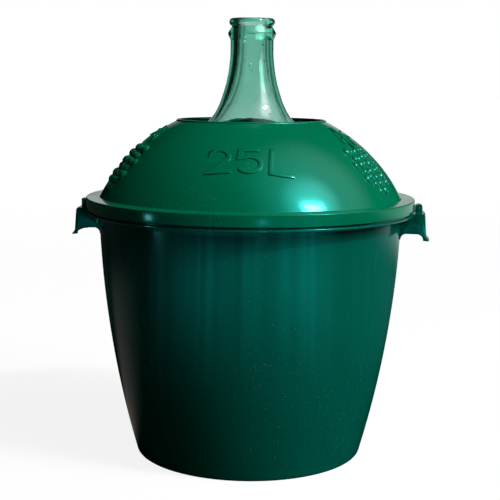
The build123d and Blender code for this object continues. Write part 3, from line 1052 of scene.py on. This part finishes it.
@dataclass
class Bottle:
    """The blown bottle, with seeds in the glass of its neck."""

    foot: float = 10.0
    ring_inner: float = 92.0
    ring_outer: float = 112.0
    punt: float = 17.0
    glass: float = 4.0
    base: float = 6.0
    neck_radius: float = 25.9
    bore: float = 18.0
    bore_start: float = 500.0
    heel: Point = (145.3, 62.0)
    side_middle: Point = (163.2, 147.0)
    side_top: Point = (172.1, 232.0)
    shoulder: Point = (149.2, 333.0)
    flare: Point = (75.0, 388.5)
    flare_way: Point = (-0.82, 0.57)
    neck_low: Point = (45.7, 415.0)
    neck_middle: Point = (32.9, 445.0)
    neck_high: Point = (27.0, 475.0)
    neck_straight: float = 492.0
    root_share: float = 0.2
    collar_foot: float = 504.0
    collar: Point = (29.3, 512.0)
    groove: Point = (24.2, 520.6)
    lip: Point = (27.5, 525.6)
    mouth: float = 529.8
    steps: int = 176
    seeds: int = 80
    wave: float = 0.3

    def body_line(self, line: Outline, inset: float, neck_inset: float, foot: float) -> Outline:
        """Adds foot to neck to an outline.

        Args:
            line: The outline so far, up to the punt's top on the axis.
            inset: Distance in from the outside of the body's glass.
            neck_inset: The same in the neck, whose wall is thicker.
            foot: Height of the foot's face.

        Returns:
            The outline.
        """
        ring = self.ring_inner - inset
        line.arc((ring / 2, foot + 0.76 * self.punt), (ring, foot), 16)
        line.to(self.ring_outer - inset, foot)
        line.curve([moved(self.heel, inset, 0.0)], (1, 0), (0.25, 1), 14)
        line.arc(moved(self.side_middle, inset, 0.0), moved(self.side_top, inset, 0.0), 20)
        shoulder = moved(self.shoulder, 0.82 * inset, 0.57 * inset)
        flare = moved(self.flare, 0.57 * inset, 0.82 * inset)
        line.curve([shoulder, flare], (0.074, 1.0), self.flare_way, 16)
        root = inset + self.root_share * (neck_inset - inset)
        outside = inset == 0.0
        end = (self.neck_radius, self.neck_straight) if outside else (self.bore, self.bore_start)
        neck = [
            moved(self.neck_low, 0.8 * root, 0.7 * root),
            moved(self.neck_middle, 0.85 * neck_inset, 0.25 * neck_inset),
            moved(self.neck_high, 0.97 * neck_inset, 0.0),
            end,
        ]
        return line.curve(neck, self.flare_way, (0, 1), 10)

    def shell(self) -> Mesh:
        """Outside and inside of the bottle, turned from one outline."""
        line = self.body_line(Outline().to(0.0, self.foot + self.punt), 0.0, 0.0, self.foot)
        line.to(self.neck_radius, self.collar_foot, 2.0)
        line.to(*self.collar, 2.4).to(*self.groove, 1.2)
        line.to(self.groove[0] + 1.4, self.groove[1] + 1.0, 0.8)
        line.arc(self.lip, (self.neck_radius - 1.1, self.mouth), 12, 0.8)
        line.to(self.bore + 1.5, self.mouth - 0.1, 0.6).to(self.bore, self.mouth - 1.6, 0.8)
        inner = self.body_line(
            Outline().to(0.0, self.foot + self.base + self.punt),
            self.glass, self.neck_radius - self.bore, self.foot + self.base,
        )
        line.corners.extend(reversed(inner.corners))
        return turned(line.points(), self.steps)

    def wavy(self, bm: Mesh) -> None:
        """Gives the glass the slight waves of a blown bottle."""
        for vert in bm.verts:
            flat = math.hypot(vert.co.x, vert.co.y)
            if flat < 1e-5:
                continue
            inner = 3.0 if flat < 0.9 * self.neck_radius * MM else 0.0
            place = Vector((vert.co.x * 40 + inner, vert.co.y * 40, vert.co.z * 9))
            push = self.wave * MM * noise.noise(place)
            vert.co.x += push * vert.co.x / flat
            vert.co.y += push * vert.co.y / flat

    def add_seeds(self, bm: Mesh) -> None:
        """Adds small air bubbles in the wall of the neck."""
        dice = random.Random(7)
        for _ in range(self.seeds):
            height = dice.uniform(404.0, 500.0)
            t = max(0.0, (500.0 - height) / 96.0)
            radius = 21.9 + 1.0 * t + 24.0 * t**3
            angle = dice.uniform(0, FULL_TURN)
            size = dice.uniform(0.35, 1.0)
            place = Vector((radius * math.cos(angle), radius * math.sin(angle), height)) * MM
            made = bmesh.ops.create_icosphere(
                bm, subdivisions=2, radius=size * MM, matrix=Matrix.Translation(place)
            )
            faces = {face for vert in made["verts"] for face in vert.link_faces}
            bmesh.ops.reverse_faces(bm, faces=list(faces))

    def build(self, glass: Finish) -> None:
        """Builds and dresses the bottle."""
        bm = self.shell()
        self.wavy(bm)
        self.add_seeds(bm)
        piece = finished("bottle", bm, 60.0)
        dress(piece, glass, Body.BASKET, Node.BOTTLE)


@dataclass(frozen=True)
class Lamp:
    """A soft lamp, pointed at the object."""

    name: str
    place: Colour
    target: Colour
    size: Point
    power: float
    colour: Colour = (1.0, 1.0, 1.0)
    in_gloss: bool = False

    def build(self) -> None:
        """Adds the lamp to the scene."""
        data = bpy.data.lights.new(self.name, "AREA")
        data.shape = "RECTANGLE"
        data.size, data.size_y = self.size
        data.energy = self.power
        data.color = self.colour
        lamp = bpy.data.objects.new(self.name, data)
        lamp.visible_glossy = self.in_gloss
        lamp.location = self.place
        way = Vector(self.target) - Vector(self.place)
        lamp.rotation_euler = way.to_track_quat("-Z", "Y").to_euler()
        bpy.context.scene.collection.objects.link(lamp)


@dataclass(frozen=True)
class Lobe:
    """A soft bright patch of the room, seen in the gloss only."""

    way: Colour
    width: float
    soft: float
    strength: float
    colour: Colour

    def shine(self, sh: Shader, ray: Socket) -> Socket:
        """The patch's light along a ray.

        Args:
            sh: The world's node tree.
            ray: Direction of the ray, of length 1.

        Returns:
            The light as a colour.
        """
        near = sh.node("ShaderNodeVectorMath", operation="DOT_PRODUCT")
        sh.link(ray, near.inputs[0])
        near.inputs[1].default_value = Vector(self.way).normalized()
        outer, inner = math.radians(self.width), math.radians(max(self.width - self.soft * 2, 0.1))
        share = sh.ramp(near.outputs["Value"], math.cos(outer), math.cos(inner), 0.0, self.strength)
        scaled = sh.node("ShaderNodeVectorMath", operation="SCALE")
        scaled.inputs[0].default_value = self.colour
        sh.link(share, scaled.inputs["Scale"])
        return scaled.outputs[0]


@dataclass
class Studio:
    """Floor, world, lamps and camera."""

    distance: float = 1.4024
    eye_height: float = 0.4578
    azimuth: float = 5.0
    pitch: float = 8.48
    roll: float = 0.55
    lens: float = 82.55
    glass_light: float = 0.72
    fill_left: float = 0.012
    fill_right: float = 0.11
    floor_paint: tuple[float, float, float, float] = (0.10, 0.10, 0.10, 1.0)
    floor_dimming: float = 0.75
    floor_turns: tuple[tuple[float, float, float, float], ...] = (
        (-80, -25, 0.02, 0.85), (10, 40, 0.0, 0.6), (45, 75, 1.0, 0.05),
        (-130, -110, 0.0, 1.0), (-100, -75, 0.14, 0.0),
    )
    lamps: tuple[Lamp, ...] = (
        Lamp("key", (1.95, -0.66, 1.25), (0.0, 0.0, 0.30), (0.9, 0.9), 31.0, (0.93, 0.98, 1.0)),
        Lamp(
            "left_card", (-1.47, -0.75, 0.12), (-0.11, -0.17, 0.31), (0.12, 0.14), 0.5, in_gloss=True
        ),
        Lamp(
            "front_card", (0.36, -1.60, 0.12), (0.03, -0.20, 0.31), (0.10, 0.10), 0.45, in_gloss=True
        ),
    )
    lobes: tuple[Lobe, ...] = (
        Lobe((0.580, -0.374, 0.719), 2.6, 1.2, 150.0, (1.0, 1.0, 1.0)),
        Lobe((0.620, -0.350, 0.702), 2.8, 1.3, 170.0, (1.0, 1.0, 1.0)),
        Lobe((0.655, -0.318, 0.686), 2.8, 1.3, 170.0, (1.0, 1.0, 1.0)),
        Lobe((0.692, -0.270, 0.669), 2.6, 1.2, 150.0, (1.0, 1.0, 1.0)),
        Lobe((0.630, -0.300, 0.715), 22.0, 11.0, 7.0, (1.0, 1.0, 1.0)),
        Lobe((0.640, -0.200, 0.740), 46.0, 21.0, 1.9, (0.9, 1.0, 0.97)),
        Lobe((0.820, -0.533, 0.208), 13.0, 6.0, 2.6, (1.0, 1.0, 1.0)),
        Lobe((0.727, -0.472, 0.500), 13.0, 6.0, 4.5, (1.0, 1.0, 1.0)),
        Lobe((-0.080, 0.980, 0.180), 18.0, 5.0, 0.62, (1.0, 0.98, 1.0)),
    )

    def through_glass(self, sh: Shader, way: Socket) -> Socket:
        """Light seen through the glass: bright behind, dark from the left and front.

        Args:
            sh: The node tree.
            way: Direction, or a place on the floor.

        Returns:
            The light's strength.
        """
        split = sh.axes(way)
        turn = sh.maths("ARCTAN2", split["X"], split["Y"])
        from_left = sh.ramp(turn, math.radians(-34), math.radians(-20), 0.015, self.glass_light)
        from_right = sh.ramp(turn, math.radians(45), math.radians(100), 1.0, 0.12)
        beside = sh.ramp(sh.maths("ABSOLUTE", turn), math.radians(9), math.radians(16), 0.0, 1.0)
        bars = sh.product(sh.ramp(sh.bands(turn, 5.0, 2.0), 0.42, 0.58, 0.8, 0.0), beside)
        return sh.product(from_left, from_right, sh.maths("SUBTRACT", 1.0, bars))

    def mirrored_floor(
        self, sh: Shader, place: Socket, away: Socket
    ) -> list[tuple[Socket, Colour]]:
        """Pools of light on the floor that the gloss alone shows.

        Args:
            sh: The floor's node tree.
            place: Place on the floor.
            away: Its distance from the axis, in metres.

        Returns:
            Strength and colour of the pool in front, the one behind and the warm one at the left.
        """
        split = sh.axes(place)
        way = sh.maths("ARCTAN2", split["X"], sh.maths("MULTIPLY", split["Y"], -1.0))
        streaks = sh.ramp(sh.bands(way, 9.0, 4.0), 0.35, 0.7, 0.45, 1.5)
        off_the_foot = sh.ramp(away, 0.22, 0.9, 0.0, 1.0)
        left, right, end, warm_start, warm_end = (
            sh.ramp(way, math.radians(low), math.radians(high), to_low, to_high)
            for low, high, to_low, to_high in self.floor_turns
        )
        near_left = sh.product(left, sh.ramp(away, 1.0, 1.8, 1.0, 0.12))
        front = sh.product(sh.maths("ADD", near_left, right), end, off_the_foot, streaks)
        far = sh.product(sh.ramp(away, 1.2, 2.2, 0.0, 1.0), sh.ramp(split["Y"], 0.2, 1.2, 0.0, 1.0))
        far = sh.product(far, sh.ramp(split["X"], -0.3, 0.5, 0.02, 0.7))
        warm = sh.product(warm_start, warm_end, sh.ramp(away, 0.7, 1.3, 1.0, 0.08))
        return [(front, (0.3, 1.0, 1.0)), (far, (1.0, 1.0, 1.0)), (warm, (1.0, 0.8, 0.72))]

    def floor(self) -> None:
        """A wide pale floor that keeps a soft shadow, and is dark in the gloss."""
        bm = bmesh.new()
        bmesh.ops.create_grid(bm, x_segments=1, y_segments=1, size=30.0)
        piece = finished("floor", bm)
        sh = Shader("floor_paint")
        path = sh.node("ShaderNodeLightPath").outputs
        place = sh.place()
        reach = sh.node("ShaderNodeVectorMath", operation="LENGTH")
        sh.link(place, reach.inputs[0])
        away = reach.outputs["Value"]
        seen = sh.product(path["Is Camera Ray"], sh.ramp(away, 1.2, 7.0, 0.88, 1.0))
        behind = self.through_glass(sh, place)
        level = sh.maths("MULTIPLY_ADD", path["Is Transmission Ray"], behind, seen)
        glows = [sh.glow(level)]
        for strength, colour in self.mirrored_floor(sh, place, away):
            glows.append(sh.glow(sh.product(strength, path["Is Glossy Ray"]), colour))
        paint = sh.node("ShaderNodeBsdfDiffuse")
        sh.put(paint, Color=self.floor_paint)
        dark = sh.node("ShaderNodeMixShader")
        dimmed = sh.product(path["Is Diffuse Ray"], self.floor_dimming)
        sh.link(sh.maths("MAXIMUM", path["Is Glossy Ray"], dimmed), dark.inputs[0])
        sh.link(paint.outputs[0], dark.inputs[1])
        whole = dark.outputs[0]
        for glow in glows:
            both = sh.node("ShaderNodeAddShader")
            sh.link(whole, both.inputs[0])
            sh.link(glow, both.inputs[1])
            whole = both.outputs[0]
        sh.link(whole, sh.out.inputs["Surface"])
        piece.data.materials.append(sh.material)

    def world(self) -> None:
        """White to the eye, and a dim room with soft windows in the gloss."""
        world = bpy.data.worlds.new("studio_world")
        bpy.context.scene.world = world
        world.use_nodes = True
        sh = Shader.of_world(world)
        where = sh.node("ShaderNodeTexCoord")
        way = sh.node("ShaderNodeVectorMath", operation="NORMALIZE")
        sh.link(where.outputs["Generated"], way.inputs[0])
        room: Socket | None = None
        for lobe in self.lobes:
            glow = lobe.shine(sh, way.outputs[0])
            room = glow if room is None else sh.colour_sum(room, glow)
        across = sh.axes(way.outputs[0])["X"]
        backdrop = sh.grey(self.through_glass(sh, way.outputs[0]))
        fill = sh.grey(sh.ramp(across, -0.8, 0.8, self.fill_left, self.fill_right))
        path = sh.node("ShaderNodeLightPath")
        tinted = sh.blend(path.outputs["Is Diffuse Ray"], room, fill)
        clear = sh.blend(path.outputs["Is Transmission Ray"], tinted, backdrop)
        white = sh.blend(path.outputs["Is Camera Ray"], clear, (1.0, 1.0, 1.0))
        glow = sh.node("ShaderNodeBackground")
        sh.link(white, glow.inputs["Color"])
        sh.link(glow.outputs[0], sh.out.inputs["Surface"])

    def camera(self) -> None:
        """The camera at the photograph's place, with a slight roll."""
        data = bpy.data.cameras.new("camera")
        data.sensor_width = 36.0
        data.lens = self.lens
        eye = bpy.data.objects.new("camera", data)
        turn = math.radians(self.azimuth)
        across, back = self.distance * math.sin(turn), self.distance * math.cos(turn)
        eye.location = (across, -back, self.eye_height)
        tilt = Matrix.Rotation(math.radians(90.0 - self.pitch), 4, "X")
        aim = Matrix.Rotation(turn, 4, "Z") @ tilt
        eye.rotation_euler = (aim @ Matrix.Rotation(math.radians(self.roll), 4, "Z")).to_euler()
        bpy.context.scene.collection.objects.link(eye)
        bpy.context.scene.camera = eye

    def build(self) -> None:
        """Sets the stage."""
        self.floor()
        self.world()
        self.camera()
        for lamp in self.lamps:
            lamp.build()
        bpy.context.scene.view_settings.view_transform = "Standard"


def main() -> None:
    """Builds every piece in order."""
    logging.basicConfig(level=logging.INFO, format="%(name)s %(message)s")
    tub_green, tub_deep = (0.0, 0.064, 0.043), (0.0, 0.055, 0.038)
    cover_green, cover_deep = (0.0, 0.098, 0.045), (0.0, 0.086, 0.041)
    # Painted shade: the cover's inside colours are far darker than its outside, standing in for the
    # shade inside the cover; the rougher, uncoated finish is the moulded inside's own.
    painted_shade_inside_green, painted_shade_inside_deep = (0.0, 0.022, 0.014), (0.0, 0.016, 0.010)
    tub_plastic = GlossPlastic("tub_plastic_gloss", tub_green, tub_deep).make()
    cover_plastic = GlossPlastic("cover_plastic_gloss", cover_green, cover_deep).make()
    painted_shade_inside_plastic = GlossPlastic(
        "cover_plastic_inside_painted_shade", painted_shade_inside_green, painted_shade_inside_deep, roughness=0.45, coat=0.0
    ).make()
    dome = Dome()
    Tub().build(tub_plastic)
    Cover(dome).build(cover_plastic, painted_shade_inside_plastic)
    Vine(dome).build(cover_plastic)
    CapacityMark(dome).build(cover_plastic)
    Bottle().build(BottleGlass().make())
    Studio().build()


if __name__ == "__main__":
    main()
